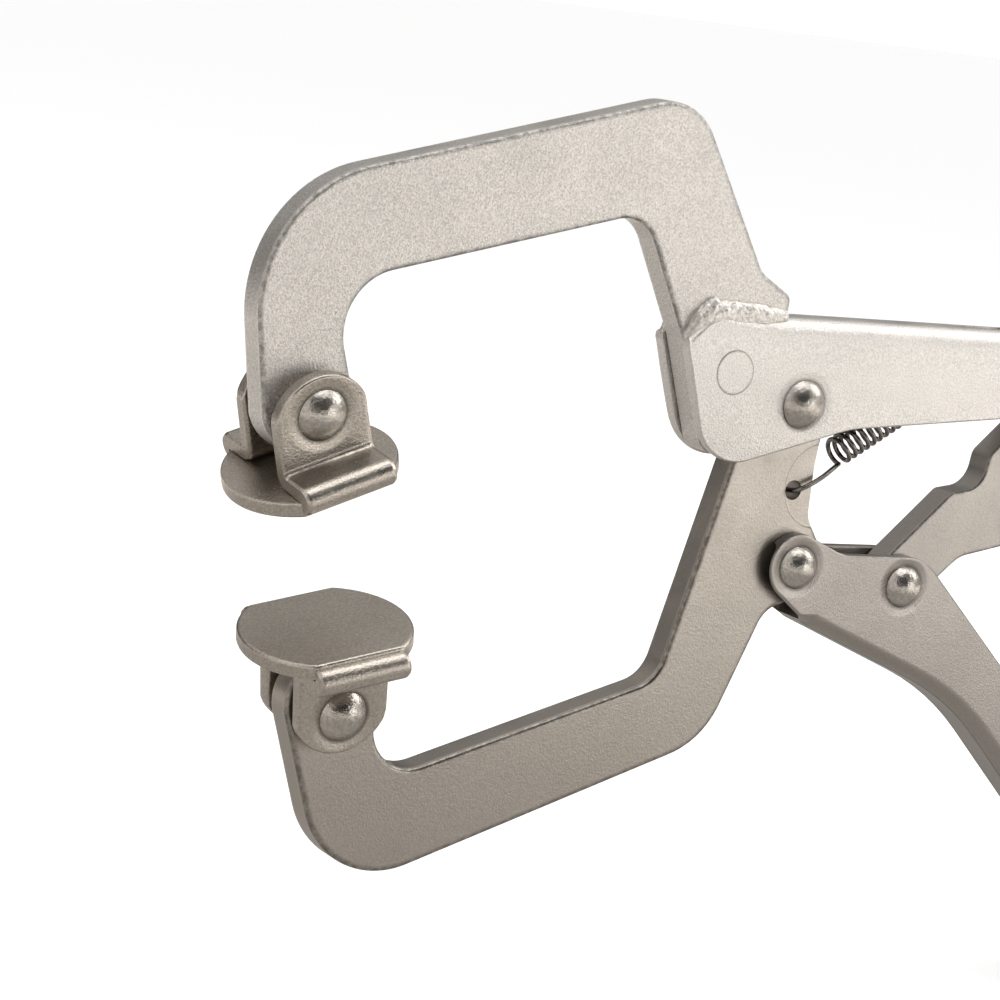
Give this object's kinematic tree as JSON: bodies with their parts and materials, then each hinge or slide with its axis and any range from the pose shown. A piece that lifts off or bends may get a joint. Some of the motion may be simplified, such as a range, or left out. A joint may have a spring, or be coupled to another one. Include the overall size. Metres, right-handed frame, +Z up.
{
  "type": "locking c-clamp pliers",
  "caption": "Locking pliers in C-clamp form: curved jaws with swivel pads, over-centre toggle, adjusting screw and release lever, shown open.",
  "frame": {"origin": "centre of the bounding box in plan, at the height of its lowest point", "axes": "+X along the fixed handle from the jaws to the knob, +Y across the tool away from the side in the picture, +Z up from the lower handle to the fixed handle"},
  "size_m": [0.2796, 0.0344, 0.1697],
  "materials": {
    "satin_nickel": "satin nickel plate over fine shot-blasted steel",
    "smooth_nickel": "smoother satin nickel plate",
    "pad_nickel": "satin nickel plate over pressed sheet",
    "rivet_nickel": "polished nickel plate",
    "screw_steel": "nickel-plated turned steel",
    "weld": "rough plated weld bead",
    "spring_steel": "dark oiled spring wire"
  },
  "bodies": {
    "fixed_side": {"fixed_handle": "satin_nickel", "fixed_jaw": "satin_nickel", "jaw_weld": "weld", "jaw_fixing_pin": "satin_nickel", "main_pivot_rivet": "rivet_nickel", "return_spring": "spring_steel"},
    "moving_jaw_body": {"moving_jaw": "smooth_nickel"},
    "lower_handle_body": {"lower_handle": "smooth_nickel", "handle_pivot_rivet": "rivet_nickel", "link_rivet": "rivet_nickel", "release_lever_rivet": "rivet_nickel"},
    "toggle_link_body": {"toggle_link": "smooth_nickel"},
    "release_lever_body": {"release_lever": "smooth_nickel"},
    "screw_slide_body": {"screw_nose": "screw_steel"},
    "screw_turn_body": {"adjusting_screw": "screw_steel", "screw_knob": "screw_steel"},
    "fixed_pad_rivet_body": {"fixed_pad_rivet": "rivet_nickel"},
    "fixed_pad_body": {"fixed_jaw_pad": "pad_nickel"},
    "moving_pad_rivet_body": {"moving_pad_rivet": "rivet_nickel"},
    "moving_pad_body": {"moving_jaw_pad": "pad_nickel"}
  },
  "joints": [
    {"name": "jaw_pivot", "type": "hinge", "parent": "fixed_side", "child": "moving_jaw_body", "pos_m": [-0.02818, 0, 0.11804], "axis": [0, -1, 0], "range_deg": [-10.9, 0.1], "deforming": ["return_spring"]},
    {"name": "handle_pivot", "type": "hinge", "parent": "moving_jaw_body", "child": "lower_handle_body", "pos_m": [-0.02388, 0, 0.08774], "axis": [0, -1, 0], "range_deg": [0, 48.2], "stiffness_Nm_per_rad": 0.8, "springref_deg": -22.92},
    {"name": "link_pivot", "type": "hinge", "parent": "lower_handle_body", "child": "toggle_link_body", "pos_m": [0.00185, 0, 0.08421], "axis": [0, -1, 0], "range_deg": [-56.6, 0.2]},
    {"name": "release_pivot", "type": "hinge", "parent": "lower_handle_body", "child": "release_lever_body", "pos_m": [0.04872, 0, 0.04348], "axis": [0, -1, 0], "range_deg": [-8, 0]},
    {"name": "screw_travel", "type": "slide", "parent": "fixed_side", "child": "screw_slide_body", "axis": [1, 0, 0], "range_m": [0, 0.014]},
    {"name": "screw_turn", "type": "hinge", "parent": "screw_slide_body", "child": "screw_turn_body", "pos_m": [0.09182, 0, 0.12579], "axis": [1, 0, 0], "range_deg": [-5, 3155]},
    {"name": "fixed_pad_lean", "type": "hinge", "parent": "fixed_side", "child": "fixed_pad_rivet_body", "pos_m": [-0.12838, 0, 0.11414], "axis": [0.9367, 0, 0.3502], "range_deg": [-20, 0]},
    {"name": "fixed_pad_swivel", "type": "hinge", "parent": "fixed_pad_rivet_body", "child": "fixed_pad_body", "pos_m": [-0.12838, 0, 0.11414], "axis": [-0.0608, 0.9848, 0.1627], "range_deg": [-11.5, 32.5]},
    {"name": "moving_pad_lean", "type": "hinge", "parent": "moving_jaw_body", "child": "moving_pad_rivet_body", "pos_m": [-0.11718, 0, 0.06284], "axis": [0.9799, 0, 0.1994], "range_deg": [-20, 0]},
    {"name": "moving_pad_swivel", "type": "hinge", "parent": "moving_pad_rivet_body", "child": "moving_pad_body", "pos_m": [-0.11718, 0, 0.06284], "axis": [-0.0346, 0.9848, 0.1702], "range_deg": [-27.5, 16.5]}
  ],
  "couplings": [
    {"joint": "jaw_pivot", "follows": "handle_pivot", "ratio": -0.22407},
    {"joint": "link_pivot", "follows": "handle_pivot", "ratio": -1.1698},
    {"joint": "screw_turn", "follows": "screw_travel", "rad_per_m": 3927}
  ]
}
